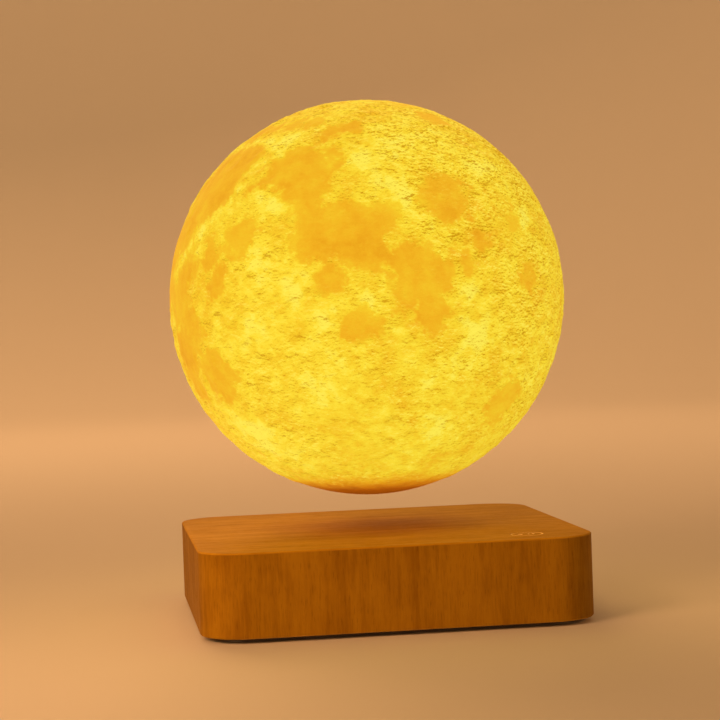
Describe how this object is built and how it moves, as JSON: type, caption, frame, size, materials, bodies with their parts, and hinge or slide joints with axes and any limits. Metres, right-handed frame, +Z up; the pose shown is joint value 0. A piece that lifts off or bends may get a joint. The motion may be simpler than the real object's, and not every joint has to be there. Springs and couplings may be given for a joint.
{
  "type": "levitating moon lamp",
  "caption": "Table lamp whose glowing, cratered moon floats and turns freely over a square, veneered wooden base.",
  "frame": {"origin": "middle of the base's footprint, on the table that the feet stand on", "axes": "+Z up, -Y towards the front with the touch mark at the front right corner, +Y towards the power socket in the back, +X to the right as seen from the front"},
  "size_m": [0.15, 0.15, 0.1943],
  "materials": {
    "wood_core": "matte",
    "side_veneer": "satin",
    "top_veneer": "satin",
    "black_plastic": "matte",
    "foot_rubber": "matte",
    "screw_steel": "satin",
    "green_board": "satin",
    "white_board": "matte",
    "magnet_plate": "polished",
    "ferrite": "matte",
    "copper": "gloss",
    "bobbin_ivory": "matte",
    "core_steel": "satin",
    "chip_black": "satin",
    "capacitor_can": "satin",
    "socket_black": "gloss",
    "brass_contact": "polished",
    "lead_red": "satin",
    "moon_print": "matte",
    "white_print": "matte",
    "post_aluminium": "satin",
    "light_chip": "matte"
  },
  "bodies": {
    "base": {"base_core": "wood_core", "side_veneer": "side_veneer", "top_veneer": "top_veneer", "bottom_plate": "black_plastic", "plate_screws": "screw_steel", "foot_1": "foot_rubber", "foot_2": "foot_rubber", "foot_3": "foot_rubber", "foot_4": "foot_rubber", "main_board": "green_board", "board_screws": "screw_steel", "magnet_carrier": "black_plastic", "ring_magnet_1": "magnet_plate", "ring_magnet_2": "magnet_plate", "ring_magnet_3": "magnet_plate", "ring_magnet_4": "magnet_plate", "ring_magnet_5": "magnet_plate", "ring_magnet_6": "magnet_plate", "ring_magnet_7": "magnet_plate", "ring_magnet_8": "magnet_plate", "power_coil_ferrite": "ferrite", "power_coil": "copper", "coil_bobbin_1": "bobbin_ivory", "coil_bobbin_2": "bobbin_ivory", "coil_bobbin_3": "bobbin_ivory", "coil_bobbin_4": "bobbin_ivory", "coil_winding_1": "copper", "coil_winding_2": "copper", "coil_winding_3": "copper", "coil_winding_4": "copper", "coil_core_1": "core_steel", "coil_core_2": "core_steel", "coil_core_3": "core_steel", "coil_core_4": "core_steel", "core_screws": "screw_steel", "sensor_board": "green_board", "field_sensors": "chip_black", "controller_chip": "chip_black", "driver_chips": "chip_black", "board_capacitors": "capacitor_can", "jack_body": "socket_black", "jack_nut": "magnet_plate", "jack_pin": "brass_contact", "base_leads": "lead_red", "touch_electrode": "copper", "touch_board": "green_board"},
    "lift": {"lift_magnet": "magnet_plate"},
    "moon": {"moon_shell": "moon_print", "shell_collar": "white_print", "bottom_cap": "moon_print", "receiver_coil": "copper", "receiver_board": "green_board", "receiver_parts": "chip_black", "receiver_screws": "screw_steel", "led_post": "post_aluminium", "led_board": "white_board", "leds": "light_chip", "led_leads": "lead_red", "led_screws": "screw_steel"}
  },
  "joints": [
    {"name": "moon_lift", "type": "slide", "parent": "base", "child": "lift", "axis": [0, 0, 1], "range_m": [-0.012, 0.04], "stiffness_N_per_m": 250, "springref_m": 0.01007},
    {"name": "moon_spin", "type": "hinge", "parent": "lift", "child": "moon", "pos_m": [0, 0, 0.1193], "axis": [0, 0, 1], "continuous": true}
  ]
}
